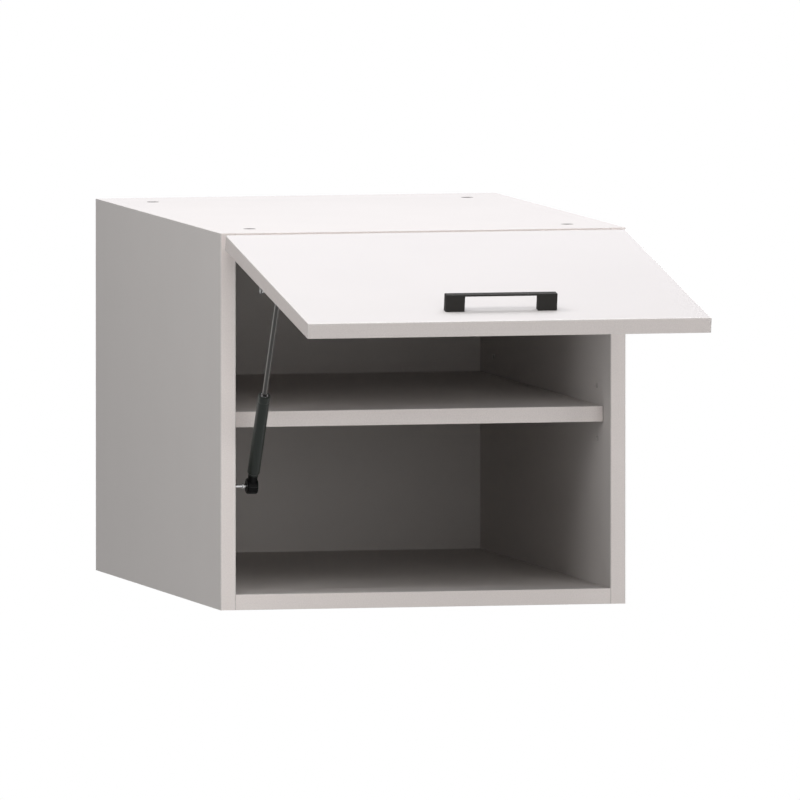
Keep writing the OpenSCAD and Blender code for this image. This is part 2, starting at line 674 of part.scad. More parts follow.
// Arm: a channel whose cheeks widen to a nose that carries the links
module hinge_arms() color(steel) at_hinges() {
    across_x(0, arm_w) polygon([for (p = [[-arm_len, arm_top], [-web_in, arm_top],
        [-web_in, arm_top - arm_t], [-arm_len, arm_top - arm_t]]) from_side(p)]);
    for (s = [-1, 1]) along_x(s > 0 ? cheek_x : -cheek_x - arm_t, arm_t)
        polygon([for (p = [[-arm_len, arm_top], [-arm_len, arm_top - cheek_drops[0]],
            [-32, arm_top - cheek_drops[1]], [-14, nose_low], [nose_out, nose_low],
            [nose_out, nose_low + nose_front], [-nose_slope[0], inner_arm_p[1] + nose_slope[1]],
            [-web_in, arm_top]]) from_side(p)]);
}
plate_mid_y = front_y + plate_in;
module hinge_plates() color([0.62, 0.63, 0.64]) at_hinges() difference() {
    box([-plate_w / 2, plate_w / 2], [plate_mid_y - plate_len / 2, plate_mid_y + plate_len / 2],
        [ceiling_z - arm_t, ceiling_z]);
    for (dx = plate_screw_xs) translate([dx, plate_mid_y, ceiling_z - arm_t - cut])
        cylinder(d = cup_screw_d + 2 * hole_play, h = arm_t + 2 * cut);
}
plate_screw_xs = [-16, 16];
plate_screw_len = 11;
module hinge_plate_screws() color(steel) at_hinges() for (dx = plate_screw_xs)
    translate([dx, plate_mid_y, ceiling_z - arm_t]) {
        rotate([180, 0, 0]) pan_head(wood_head[0], wood_head[1]);
        cylinder(d = cup_screw_d, h = plate_screw_len);
    }

// --- Gas strut --------------------------------------------------------------------------------
tube_top = socket_neck + tube_len;
rod_top = strut_len - socket_neck;
rod_low = tube_top - guide_len - piston_len;
neck_d = 9.2;
barrel_chamfer = 0.8;
clip_slot = [0.9, 1.3];         // width and depth of the slots that seat the safety clip
clip_at = 3;                    // distance of each slot from the ball's middle, along the strut
collar = [6, 1.6];              // diameter and thickness of a stud's collar
collar_x = strut_stand - 9.2;
rivet = [stud_d + 1.4, 1];      // diameter and height of the head stud's riveted shoulder

// Stud along X, from its foot to the ball, with x = 0 on the side board's inner face
module stud(foot) {
    rotate([0, 90, 0]) {
        translate([0, 0, foot]) cylinder(d = stud_d, h = strut_stand - foot);
        translate([0, 0, collar_x]) cylinder(d = collar[0], h = collar[1]);
        translate([0, 0, strut_stand]) sphere(d = ball_d);
    }
}
// Ball socket: a barrel along the stud, a neck up the strut and slots for the safety clip
module socket() {
    ball_r = ball_d / 2 + ball_play;
    r = socket_d / 2;
    w = socket_w / 2;
    difference() {
        union() {
            rotate([0, 90, 0]) rotate_extrude() polygon([[0, -w], [r - barrel_chamfer, -w],
                [r, -w + barrel_chamfer], [r, w - barrel_chamfer], [r - barrel_chamfer, w], [0, w]]);
            cylinder(d = neck_d, h = socket_neck);
        }
        sphere(r = ball_r);
        rotate([0, -90, 0]) cylinder(d = stud_d + 2 * ball_play, h = socket_w);
        for (z = [-clip_at, clip_at], y = [-r - cut, r - clip_slot[1]])
            translate([-w - cut, y, z - clip_slot[0] / 2])
            cube([socket_w + 2 * cut, clip_slot[1] + cut, clip_slot[0]]);
    }
}
// The foot stud swings with the tube, a hair off the end of the screw that holds it
module strut_foot_stud() color(steel) {
    q = from_side(foot_p);
    translate([-inner_x, q[0], q[1]]) stud(foot_gap);
}
module strut_foot_screw() color(steel) bar_x(foot_p, -inner_x - stud_seat, stud_seat, stud_d);
module strut_foot_socket() color(black) on_strut() socket();
module strut_head_socket() color(black) on_strut()
    translate([0, 0, strut_len]) rotate([0, 180, 0]) mirror([1, 0, 0]) socket();
// Hollow tube, closed at the foot and rolled in over the guide at its mouth
module strut_tube() color([0.16, 0.19, 0.18]) on_strut() rotate_extrude() {
    r = tube_d / 2;
    polygon([[0, socket_neck], [r - 1, socket_neck], [r, socket_neck + 1], [r, tube_top - 1],
        [r - 1, tube_top], [rod_d / 2 + 1.5, tube_top], [rod_d / 2 + 1.5, tube_top - 0.8],
        [r - tube_wall, tube_top - 0.8], [r - tube_wall, socket_neck + 1.4], [0, socket_neck + 1.4]]);
}
guide_d = tube_d - 2 * tube_wall;
module strut_guide() color(black) on_strut()
    translate([0, 0, tube_top - 0.8 - guide_len]) difference() {
        cylinder(d = guide_d, h = guide_len);
        translate([0, 0, -cut]) cylinder(d = rod_d + 2 * rod_play, h = guide_len + 2 * cut);
    }
rod_play = 0.1;
module strut_rod() color(steel) on_strut()
    translate([0, 0, rod_low - 0.9]) cylinder(d = rod_d, h = rod_top - rod_low + 0.9);
module strut_piston() color(black) on_strut()
    translate([0, 0, rod_low - 0.9]) difference() {
        cylinder(d = guide_d - 2 * rod_play, h = piston_len - 0.1);
        translate([0, 0, -cut]) cylinder(d = rod_d, h = piston_len + 2 * cut);
    }
ear_x = -inner_x + ear_gap;
// The head stud is riveted through the bracket's ear
module strut_head_stud() color(steel) {
    q = from_side(head_p);
    translate([-inner_x, q[0], q[1]]) {
        stud(ear_gap);
        translate([ear_gap + ear_t, 0, 0]) rotate([0, 90, 0]) cylinder(d = rivet[0], h = rivet[1]);
    }
}
head_z = flap_z[1] - head_down;
bracket_mid_x = ear_x + bracket_w / 2 + ear_t;
bracket_screw_d = 3.5;
bracket_screw_len = 11;
bracket_screw_zs = [head_z - bracket_len / 2 + 6, head_z + bracket_len / 2 - 6];
// Angle bracket on the flap: a foot with two screws and an ear that holds the head stud
module strut_bracket() color(steel) on_flap() {
    difference() {
        box([ear_x, ear_x + bracket_w + ear_t], [flap_y[1], flap_y[1] + ear_t],
            [head_z - bracket_len / 2, head_z + bracket_len / 2]);
        for (z = bracket_screw_zs) translate([bracket_mid_x, flap_y[1] - cut, z])
            rotate([-90, 0, 0]) cylinder(d = bracket_screw_d + 2 * hole_play, h = ear_t + 2 * cut);
    }
    along_x(ear_x, ear_t) difference() {
        ear_outline();
        translate([flap_y[1] + head_off, head_z]) circle(d = stud_d + 2 * hole_play);
    }
}
gusset = [4.6, 2];              // reach off the flap and overhang of the gussets beside the ear
module ear_outline() {
    low = head_z - bracket_len / 2 + gusset[1];
    high = head_z + bracket_len / 2 - gusset[1];
    neck = flap_y[1] + head_off / 2;
    translate([flap_y[1], head_z - ear_w / 2]) square([head_off, ear_w]);
    translate([flap_y[1] + head_off, head_z]) circle(d = ear_w);
    polygon([[flap_y[1], low], [flap_y[1], high], [flap_y[1] + gusset[0], head_z + ear_w / 2 + gusset[1]],
        [neck, head_z + ear_w / 2], [neck, head_z - ear_w / 2],
        [flap_y[1] + gusset[0], head_z - ear_w / 2 - gusset[1]]]);
}
module bracket_screws() color(steel) on_flap() for (z = bracket_screw_zs)
    translate([bracket_mid_x, flap_y[1] + ear_t, z]) {
        rotate([-90, 0, 0]) pan_head(bracket_head[0], bracket_head[1]);
        rotate([90, 0, 0]) cylinder(d = bracket_screw_d, h = bracket_screw_len);
    }

left_side();
right_side();
top_panel();
bottom_panel();
back_panel();
shelf();
carcass_bands();
shelf_band();
shelf_pins();
cam_locks();
cam_bolts();
cam_caps();
dowels();
back_nails();
hanger_housings();
hanger_hooks();
hanger_screws();
hinge_plates();
hinge_arms();
hinge_plate_screws();
flap_panel();
flap_bands();
flap_bumpers();
handle();
handle_screws();
hinge_cups();
cup_screw_set();
outer_links();
inner_links();
strut_foot_screw();
strut_foot_stud();
strut_foot_socket();
strut_tube();
strut_guide();
strut_piston();
strut_rod();
strut_head_socket();
strut_head_stud();
strut_bracket();
bracket_screws();
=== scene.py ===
"""Looks of the lift-up wall cabinet: boards, edge bands, flap, gas strut, hinges and handle."""

import json
import math

import bmesh
import bpy
from mathutils import Matrix, Vector


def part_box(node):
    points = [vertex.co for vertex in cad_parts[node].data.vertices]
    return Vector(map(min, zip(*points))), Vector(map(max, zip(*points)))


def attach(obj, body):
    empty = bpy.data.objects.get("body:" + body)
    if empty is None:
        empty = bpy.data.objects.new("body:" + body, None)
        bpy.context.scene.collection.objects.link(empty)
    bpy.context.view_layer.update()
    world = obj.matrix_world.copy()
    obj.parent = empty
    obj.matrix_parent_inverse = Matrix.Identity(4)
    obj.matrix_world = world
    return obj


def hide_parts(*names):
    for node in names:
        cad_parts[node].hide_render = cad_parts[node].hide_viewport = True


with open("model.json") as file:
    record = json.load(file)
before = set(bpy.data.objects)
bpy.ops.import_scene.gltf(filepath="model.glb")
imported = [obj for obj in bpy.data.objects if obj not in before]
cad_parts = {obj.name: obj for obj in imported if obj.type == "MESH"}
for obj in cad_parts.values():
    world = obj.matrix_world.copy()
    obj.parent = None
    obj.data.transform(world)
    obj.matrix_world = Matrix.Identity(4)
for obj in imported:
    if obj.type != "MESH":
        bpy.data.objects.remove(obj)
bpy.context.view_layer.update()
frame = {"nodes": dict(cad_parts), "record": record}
nodes = frame["nodes"]
behaviour = frame["record"]["behaviour"]
slot_of = {s["node"]: s["material_slot"] for s in frame["record"]["subparts"]}
body_of = {n: b for b, names in behaviour["bodies"].items() for n in names}
joints = {j["name"]: j for j in behaviour["joints"]}

MM = 0.001
TOUCH = 0.001 * MM  # nearer than this is the same place
CREASE = math.radians(35)  # edges that turn more stay sharp, or are bevelled


# --- Materials ---------------------------------------------------------------------------
def new_material(name, colour, roughness, metallic=0.0, **sockets):
    """A Principled material, with its constants on the shader's own sockets."""
    m = bpy.data.materials.new(name)
    m.use_nodes = True
    tree = m.node_tree
    shader = tree.nodes["Principled BSDF"]
    shader.inputs["Base Color"].default_value = (*colour, 1.0)
    shader.inputs["Roughness"].default_value = roughness
    shader.inputs["Metallic"].default_value = metallic
    for key, value in sockets.items():
        shader.inputs[key.replace("_", " ")].default_value = value
    return m, tree, shader


def add(tree, kind, **values):
    """A new shader node, with values for its sockets or its own settings."""
    node = tree.nodes.new(kind)
    for key, value in values.items():
        if key in node.inputs:
            node.inputs[key].default_value = value
        else:
            setattr(node, key, value)
    return node


def noise(tree, scale, detail, rough, stretch=(1, 1, 1)):
    """Noise over the object's own coordinates, in metres, drawn out by stretch."""
    coord = add(tree, "ShaderNodeTexCoord")
    mapping = add(tree, "ShaderNodeMapping", Scale=stretch)
    tree.links.new(coord.outputs["Object"], mapping.inputs["Vector"])
    tex = add(tree, "ShaderNodeTexNoise", Scale=scale, Detail=detail, Roughness=rough)
    tree.links.new(mapping.outputs["Vector"], tex.inputs["Vector"])
    return tex.outputs["Fac"]


def ramp(tree, source, low, high):
    """Runs from one colour to another over the middle of a noise's range."""
    node = add(tree, "ShaderNodeValToRGB")
    first, last = node.color_ramp.elements
    first.position, last.position = 0.35, 0.65
    first.color, last.color = (*low, 1), (*high, 1)
    tree.links.new(source, node.inputs["Fac"])
    return node.outputs["Color"]


def shade(colour, factor):
    """A colour made darker or lighter."""
    return tuple(c * factor for c in colour)


def mottle(tree, source, colour, dark, light):
    """A colour that varies between two factors of itself."""
    return ramp(tree, source, shade(colour, dark), shade(colour, light))


def spread(tree, source, low, high, span=(0.0, 1.0)):
    """Takes the values of span to low and high."""
    node = add(tree, "ShaderNodeMapRange")
    limits = ("From Min", "From Max", "To Min", "To Max")
    for key, value in zip(limits, (*span, low, high)):
        node.inputs[key].default_value = value
    tree.links.new(source, node.inputs["Value"])
    return node.outputs["Result"]


def edge_on(tree, span, low, high):
    """From low where a surface faces the eye to high where it turns edge-on to it."""
    weight = add(tree, "ShaderNodeLayerWeight", Blend=0.5)
    return spread(tree, weight.outputs["Facing"], low, high, span)


def bump(tree, shader, source, strength, distance):
    """Tilts the shader's normal by a height source; the distance is in metres."""
    node = add(tree, "ShaderNodeBump", Strength=strength, Distance=distance)
    tree.links.new(source, node.inputs["Height"])
    tree.links.new(node.outputs["Normal"], shader.inputs["Normal"])


def melamine(name, colour, roughness=0.6):
    """Melamine face: a fine pearl grain, faint clouding and a matt sheen that fades edge-on."""
    sheen = 0.2
    m, tree, shader = new_material(name, colour, roughness, Specular_IOR_Level=sheen)
    tree.links.new(edge_on(tree, (0.3, 0.75), sheen, 0.0), shader.inputs["Specular IOR Level"])
    cloud = noise(tree, scale=9.0, detail=4.0, rough=0.55)
    tree.links.new(mottle(tree, cloud, colour, 0.993, 1.005), shader.inputs["Base Color"])
    pearl = noise(tree, scale=1400.0, detail=2.0, rough=0.6)
    rough = spread(tree, pearl, roughness - 0.06, roughness + 0.08)
    tree.links.new(rough, shader.inputs["Roughness"])
    bump(tree, shader, pearl, 0.25, 0.03 * MM)
    return m


def plastic(name, colour, roughness, grain=900.0, depth=0.04 * MM, gloss=0.5, rim=None):
    """Moulded plastic, paint or edge band, with a fine grain; rim is its gloss edge-on."""
    m, tree, shader = new_material(name, colour, roughness, Specular_IOR_Level=gloss)
    if rim is not None:
        fade = edge_on(tree, (0.3, 0.7), gloss, rim)
        tree.links.new(fade, shader.inputs["Specular IOR Level"])
    fine = noise(tree, scale=grain, detail=2.0, rough=0.6)
    tree.links.new(mottle(tree, fine, colour, 0.96, 1.03), shader.inputs["Base Color"])
    rough = spread(tree, fine, roughness - 0.05, roughness + 0.08)
    tree.links.new(rough, shader.inputs["Roughness"])
    bump(tree, shader, fine, 0.4, depth)
    return m


def plated(name, colour, roughness, stretch=(1, 1, 1), scale=700.0, depth=0.03 * MM, rim=1.0):
    """Plated sheet, rod or wire, with fine rolling marks; rim is a painted highlight, how much
    brighter the colour is edge-on.
    """
    m, tree, shader = new_material(name, colour, roughness, metallic=1.0)
    marks = noise(tree, scale=scale, detail=4.0, rough=0.6, stretch=stretch)
    cloud = noise(tree, scale=60.0, detail=3.0, rough=0.5)
    # Painted highlight: the base colour turns rim times brighter where the surface goes edge-on
    mix = add(tree, "ShaderNodeMix", data_type="RGBA", blend_type="MIX")
    mix.inputs["B"].default_value = (*shade(colour, rim), 1)
    tree.links.new(edge_on(tree, (0.25, 0.6), 0.0, 1.0), mix.inputs["Factor"])
    tree.links.new(mottle(tree, cloud, colour, 0.88, 1.04), mix.inputs["A"])
    tree.links.new(mix.outputs["Result"], shader.inputs["Base Color"])
    rough = spread(tree, marks, max(roughness - 0.08, 0.04), roughness + 0.1)
    tree.links.new(rough, shader.inputs["Roughness"])
    bump(tree, shader, marks, 0.3, depth)
    return m


def wood(name, colour):
    """Turned wood, with its grain along X."""
    m, tree, shader = new_material(name, colour, 0.6)
    grain = noise(tree, scale=500.0, detail=5.0, rough=0.6, stretch=(0.12, 1, 1))
    tree.links.new(mottle(tree, grain, colour, 0.78, 1.08), shader.inputs["Base Color"])
    bump(tree, shader, grain, 0.5, 0.08 * MM)
    return m


def fibreboard(name, colour):
    """Bare hardboard or chipboard: matted fibres over broad patches."""
    m, tree, shader = new_material(name, colour, 0.75, Specular_IOR_Level=0.25)
    fibre = noise(tree, scale=260.0, detail=8.0, rough=0.75)
    patch = noise(tree, scale=22.0, detail=3.0, rough=0.5)
    mix = add(tree, "ShaderNodeMix", data_type="RGBA", blend_type="MULTIPLY")
    mix.inputs["Factor"].default_value = 1.0
    tree.links.new(mottle(tree, fibre, colour, 0.72, 1.15), mix.inputs["A"])
    tree.links.new(mottle(tree, patch, (1, 1, 1), 0.9, 1), mix.inputs["B"])
    tree.links.new(mix.outputs["Result"], shader.inputs["Base Color"])
    bump(tree, shader, fibre, 0.5, 0.12 * MM)
    return m


looks = {
    "board": melamine("board_melamine", (0.665, 0.634, 0.614)),
    "back_board": melamine("back_melamine", (0.67, 0.637, 0.612), 0.62),
    "flap_board": melamine("flap_melamine", (0.658, 0.629, 0.615), 0.58),
    # Painted light: the carcass's edge band is coloured lighter than the flap's ring of the
    # same band
    "edge_band": plastic("edge_band_abs", (0.84, 0.772, 0.738), 0.3, rim=0.0),
    "zinc": plated("zinc_plate", (0.42, 0.42, 0.44), 0.36),
    "steel": plated("nickel_plate", (0.50, 0.50, 0.51), 0.24),
    "pale_plastic": plastic("pale_moulding", (0.66, 0.63, 0.61), 0.45),
    "beech": wood("beech_dowel", (0.72, 0.55, 0.34)),
    "clear_rubber": plastic("bumper_pad", (0.80, 0.79, 0.77), 0.3),
    "black_metal": plastic(
        "black_powder_coat",
        (0.019, 0.0175, 0.016),
        0.6,
        grain=1600.0,
        depth=0.03 * MM,
        gloss=0.2,
        rim=0.05,
    ),
    "strut_paint": plastic(
        "strut_paint",
        (0.0255, 0.030, 0.0265),
        0.3,
        grain=500.0,
        depth=0.02 * MM,
        gloss=0.12,
        rim=1.0,
    ),
    "black_plastic": plastic("black_moulding", (0.003, 0.003, 0.003), 0.4, gloss=0.07),
}
# Painted light: the flap's ring is the same edge band, coloured darker (0.70 against 0.84) for
# the light on it; lit and shaded copies of one material
flap_band_darker_copy_look = plastic("flap_band_abs_darker_copy", (0.70, 0.646, 0.621), 0.3, rim=0.0)
arris_look = plastic("scraped_band_arris", (0.68, 0.636, 0.614), 0.24, gloss=0.6)
drawn = {"scale": 900.0, "depth": 0.01 * MM}  # the finer marks of drawn or turned steel
# The rod's colour is painted eight times brighter edge-on: a painted highlight along its
# outline
rod_painted_rim_look = plated(
    "nitrided_rod_painted_rim", (0.044, 0.0425, 0.041), 0.2, stretch=(1, 1, 0.05), rim=8.0, **drawn
)
pin_look = plated("bright_pin", (0.40, 0.40, 0.40), 0.14, stretch=(0.05, 1, 1), **drawn)
bracket_look = plated("bracket_plate", (0.10, 0.10, 0.10), 0.4)
clip_look = plated("clip_wire", (0.03, 0.03, 0.03), 0.35)
raw_look = fibreboard("bare_fibreboard", (0.27, 0.185, 0.12))
chip_look = fibreboard("bare_chipboard", (0.46, 0.39, 0.32))
# Bore walls: bare chipboard, but darker and greyer than chip_look; part their own raw colour,
# part painted shade in the recesses
bore_shade_look = fibreboard("bore_wall_painted_shade", (0.20, 0.19, 0.185))
for name, obj in nodes.items():
    obj.data.materials.clear()
    obj.data.materials.append(looks[slot_of[name]])


# --- Mesh tools --------------------------------------------------------------------------
def new_object(bm, name, materials, crease=None):
    """An object with outward, smooth faces; where crease is given, sharper edges stay sharp."""
    bmesh.ops.recalc_face_normals(bm, faces=bm.faces)
    for face in bm.faces:
        face.smooth = True
    if crease is not None:
        for edge in bm.edges:
            edge.smooth = edge.calc_face_angle(math.pi) < crease
    mesh = bpy.data.meshes.new(name)
    bm.to_mesh(mesh)
    bm.free()
    for m in materials:
        mesh.materials.append(m)
    obj = bpy.data.objects.new(name, mesh)
    bpy.context.collection.objects.link(obj)
    return obj


def finish_piece(bm, name, node, look=None, more_looks=(), crease=CREASE):
    """Makes the piece that stands for a CAD node, with clean normals, on that node's body."""
    obj = new_object(bm, name, (look or looks[slot_of[node]], *more_looks), crease)
    weighted = obj.modifiers.new("normals", "WEIGHTED_NORMAL")
    weighted.keep_sharp = True
    weighted.weight = 100
    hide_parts(node)
    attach(obj, body_of[node])


def finish_loose(bm, name, look, body):
    """Makes a small piece that stands for no CAD node, on a body by name."""
    obj = new_object(bm, name, (look,))
    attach(obj, body)


def welded(node):
    """A CAD node's mesh, with its corners joined and its flat faces merged."""
    bm = bmesh.new()
    bm.from_mesh(nodes[node].data)
    bmesh.ops.remove_doubles(bm, verts=bm.verts, dist=0.002 * MM)
    bmesh.ops.dissolve_limit(
        bm, angle_limit=math.radians(0.3), verts=bm.verts, edges=bm.edges, delimit={"NORMAL"}
    )
    return bm


def bevel(bm, edges, width, segments=2):
    """Rounds the edges."""
    bmesh.ops.bevel(
        bm,
        geom=edges,
        offset=width,
        segments=segments,
        profile=0.5,
        affect="EDGES",
        clamp_overlap=True,
    )


def in_plane(edge, y):
    """Whether an edge lies in the plane across Y at y."""
    return all(abs(v.co.y - y) < TOUCH for v in edge.verts)


def box_edges(bm, lo, hi):
    """Edges that lie on the box's own twelve."""
    tol = 0.02 * MM

    def sides(co):
        return {
            (axis, end)
            for axis in range(3)
            for end, wall in ((0, lo[axis]), (1, hi[axis]))
            if abs(co[axis] - wall) < tol
        }

    return [e for e in bm.edges if len(sides(e.verts[0].co) & sides(e.verts[1].co)) >= 2]


def paint(bm, test, index=1):
    """Another material for the faces whose centre and normal pass the test."""
    for face in bm.faces:
        if test(face.calc_center_median(), face.normal):
            face.material_index = index


def scrape_arrises(bm):
    """Second material for the rounded corners, all that faces along no axis."""
    straight = 0.999
    bm.normal_update()
    paint(bm, lambda centre, normal: max(abs(n) for n in normal) < straight)


def add_box(bm, lo, hi):
    """Adds a box, and gives its twelve edges."""
    made = bmesh.ops.create_cube(bm, size=1.0)["verts"]
    for v in made:
        v.co = Vector(lo[i] + (v.co[i] + 0.5) * (hi[i] - lo[i]) for i in range(3))
    return list(dict.fromkeys(e for v in made for e in v.link_edges))


def circle(sides):
    """Angles of the points round a ring."""
    return [2 * math.pi * i / sides for i in range(sides)]


def skin(bm, low, high):
    """Faces between two rings, either of which may be a single point."""
    sides = max(len(low), len(high))
    for i in range(sides if sides > 1 else 0):
        j = (i + 1) % sides
        if len(low) == 1:
            bm.faces.new((low[0], high[i], high[j]))
        elif len(high) == 1:
            bm.faces.new((low[i], high[0], low[j]))
        else:
            bm.faces.new((low[i], low[j], high[j], high[i]))


def lathe(bm, profile, place, axis, sides=64):
    """Turns a profile of (radius, height) about an axis through place; radius 0 closes it."""
    turn = Vector(axis).to_track_quat("Z", "Y").to_matrix().to_4x4()
    turn.translation = Vector(place)
    rings = []
    for r, h in profile:
        spots = [(r * math.cos(a), r * math.sin(a), h) for a in circle(sides)]
        if r == 0:
            spots = spots[:1]
        rings.append([bm.verts.new(turn @ Vector(spot)) for spot in spots])
    for low, high in zip(rings, rings[1:]):
        skin(bm, low, high)


def wire(bm, start, end, radius, sides=12):
    """A straight length of wire with closed ends."""
    ahead = (end - start).normalized()
    side = ahead.orthogonal().normalized()
    up = ahead.cross(side)
    low, high = (
        [
            bm.verts.new(p + radius * math.cos(a) * side + radius * math.sin(a) * up)
            for a in circle(sides)
        ]
        for p in (start, end)
    )
    skin(bm, low, high)
    bm.faces.new(list(reversed(low)))
    bm.faces.new(high)


# --- Boards ------------------------------------------------------------------------------
ARRIS = 0.22 * MM  # broken edge of a board
FACING = 0.5  # least share of a face's normal along an axis that it counts as facing

# Looks of each board's bare rear, and then of its bores, where it shows any; the bores' look is
# partly painted shade
BARE_LOOKS = {
    "left_side": (chip_look,),
    "right_side": (chip_look,),
    "top_panel": (chip_look, bore_shade_look),
    "bottom_panel": (chip_look,),
    "shelf": (),
    "back_panel": (raw_look,),
}


def faces_rear(centre, normal):
    """Sawn rear edge of a board."""
    return normal.y > FACING


def faces_rear_or_sideways(centre, normal):
    """All of a board but its front."""
    return max(normal.y, abs(normal.x), abs(normal.z)) > FACING


for node, bare_looks in BARE_LOOKS.items():
    bm = welded(node)
    lo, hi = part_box(node)
    bevel(bm, box_edges(bm, lo, hi), ARRIS)
    bm.normal_update()
    if node == "back_panel":
        paint(bm, faces_rear_or_sideways)
    elif node != "shelf":
        paint(bm, faces_rear)
    if node == "top_panel":
        # Bores and grooves: faces that stand off all six of the board's own; their darker look
        # is partly painted shade
        inside = 1.5 * ARRIS
        paint(bm, lambda c, n: all(lo[i] + inside < c[i] < hi[i] - inside for i in range(3)), 2)
    finish_piece(bm, node + "_board", node, more_looks=bare_looks)

# Edge bands of the carcass: the uprights run through, the level ones fit between them
BOARD_T = 15 * MM
BAND_R, BAND_LEVEL_R = 0.85 * MM, 0.3 * MM


def band(bm, lo, hi, upright):
    """A strip with its two long front corners rounded, less so on the level ones."""
    long_axis = 2 if upright else 0
    runs = [
        e
        for e in add_box(bm, lo, hi)
        if in_plane(e, lo[1]) and abs((e.verts[0].co - e.verts[1].co)[long_axis]) > TOUCH
    ]
    bevel(bm, runs, BAND_R if upright else BAND_LEVEL_R, 4)


bm = bmesh.new()
lo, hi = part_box("carcass_bands")
for x in (lo[0], hi[0] - BOARD_T):
    band(bm, (x, lo[1], lo[2]), (x + BOARD_T, hi[1], hi[2]), True)
for z in (lo[2], hi[2] - BOARD_T):
    band(bm, (lo[0] + BOARD_T, lo[1], z), (hi[0] - BOARD_T, hi[1], z + BOARD_T), False)
scrape_arrises(bm)
finish_piece(bm, "carcass_band_strips", "carcass_bands", more_looks=(arris_look,))

bm = bmesh.new()
lo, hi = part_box("shelf_band")
band(bm, lo, hi, False)
scrape_arrises(bm)
finish_piece(bm, "shelf_band_strip", "shelf_band", more_looks=(arris_look,))

# --- Flap: its pieces are shaped shut, where they lie along the axes, and then opened ----
hinge_line = Vector(joints["flap_swing"]["pos_m"])
OPEN = math.radians(-80)
open_flap = (
    Matrix.Translation(hinge_line)
    @ Matrix.Rotation(OPEN, 4, "X")
    @ Matrix.Translation(-hinge_line)
)
shut_flap = open_flap.inverted()


def flap_box(node):
    """Box of a CAD node on the shut flap."""
    points = [shut_flap @ v.co for v in nodes[node].data.vertices]
    lo = [min(p[i] for p in points) for i in range(3)]
    hi = [max(p[i] for p in points) for i in range(3)]
    return lo, hi


# The bands run round the flap as one ring, well rounded outside and just broken inside
FLAP_R, FLAP_BACK_R = 0.98 * MM, 0.4 * MM
lo, hi = flap_box("flap_bands")
bm = bmesh.new()
bevel(bm, [e for e in add_box(bm, lo, hi) if not in_plane(e, hi[1])], FLAP_R, 4)
bevel(bm, [e for e in bm.edges if in_plane(e, hi[1])], FLAP_BACK_R, 3)
broad = sorted(bm.faces, key=lambda f: -f.calc_area())[:2]
bmesh.ops.delete(bm, geom=broad, context="FACES_ONLY")
bmesh.ops.bridge_loops(bm, edges=[e for e in bm.edges if e.is_boundary])
scrape_arrises(bm)
bm.transform(open_flap)
finish_piece(bm, "flap_band_ring", "flap_bands", flap_band_darker_copy_look, more_looks=(arris_look,))

FLAP_ARRIS = 0.12 * MM
bm = welded("flap_panel")
bm.transform(shut_flap)
bevel(bm, box_edges(bm, *flap_box("flap_panel")), FLAP_ARRIS)
bm.transform(open_flap)
finish_piece(bm, "flap_board_panel", "flap_panel")

# Clear bumpers: a dome over an upright wall that takes this share of the height
BUMPER_WALL = 0.35
lo, hi = flap_box("flap_bumpers")
bumper_r = (hi[2] - lo[2]) / 2
bumper_h = hi[1] - lo[1]
bumper = [(0, 0), (bumper_r, 0), (bumper_r, BUMPER_WALL * bumper_h)]
for degrees in (15, 30, 45, 60, 75):
    a = math.radians(degrees)
    rise = BUMPER_WALL + (1 - BUMPER_WALL) * math.sin(a)
    bumper.append((bumper_r * math.cos(a), bumper_h * rise))
bumper.append((0, bumper_h))
bm = bmesh.new()
for x in (lo[0] + bumper_r, hi[0] - bumper_r):
    lathe(bm, bumper, (x, lo[1], (lo[2] + hi[2]) / 2), (0, 1, 0), sides=32)
bm.transform(open_flap)
finish_piece(bm, "flap_bumper_domes", "flap_bumpers", crease=math.radians(60))

# Handle: two block feet under a thin bar, softly rounded by its powder coat
FOOT, BAR, COAT_R = 18.5 * MM, 1.8 * MM, 0.45 * MM
lo, hi = flap_box("handle")
outline = (
    (lo[0], hi[1]),
    (lo[0], lo[1]),
    (hi[0], lo[1]),
    (hi[0], hi[1]),
    (hi[0] - FOOT, hi[1]),
    (hi[0] - FOOT, lo[1] + BAR),
    (lo[0] + FOOT, lo[1] + BAR),
    (lo[0] + FOOT, hi[1]),
)
bm = bmesh.new()
low_face = bm.faces.new([bm.verts.new((x, y, lo[2])) for x, y in outline])
made = bmesh.ops.extrude_face_region(bm, geom=[low_face])["geom"]
raised = [g for g in made if isinstance(g, bmesh.types.BMVert)]
bmesh.ops.translate(bm, verts=raised, vec=(0, 0, hi[2] - lo[2]))
bevel(bm, [e for e in bm.edges if not in_plane(e, hi[1])], COAT_R, 3)
bm.transform(open_flap)
finish_piece(bm, "handle_bar", "handle")

# --- Gas strut ---------------------------------------------------------------------------
slide = Vector(joints["strut_slide"]["axis"]).normalized()
head = Vector(joints["strut_swing"]["pos_m"])


def along(node):
    """Least and greatest distance of a node's points from the head ball, down the strut."""
    spots = [(head - v.co).dot(slide) for v in nodes[node].data.vertices]
    return min(spots), max(spots)


ROD_R, ROD_ARRIS = 2.5 * MM, 0.1 * MM
near, far = along("strut_rod")
bm = bmesh.new()
rod = [
    (0, near),
    (ROD_R - ROD_ARRIS, near),
    (ROD_R, near + ROD_ARRIS),
    (ROD_R, far),
    (0, far),
]
lathe(bm, rod, head, -slide)
finish_piece(bm, "strut_rod_bar", "strut_rod", rod_painted_rim_look)

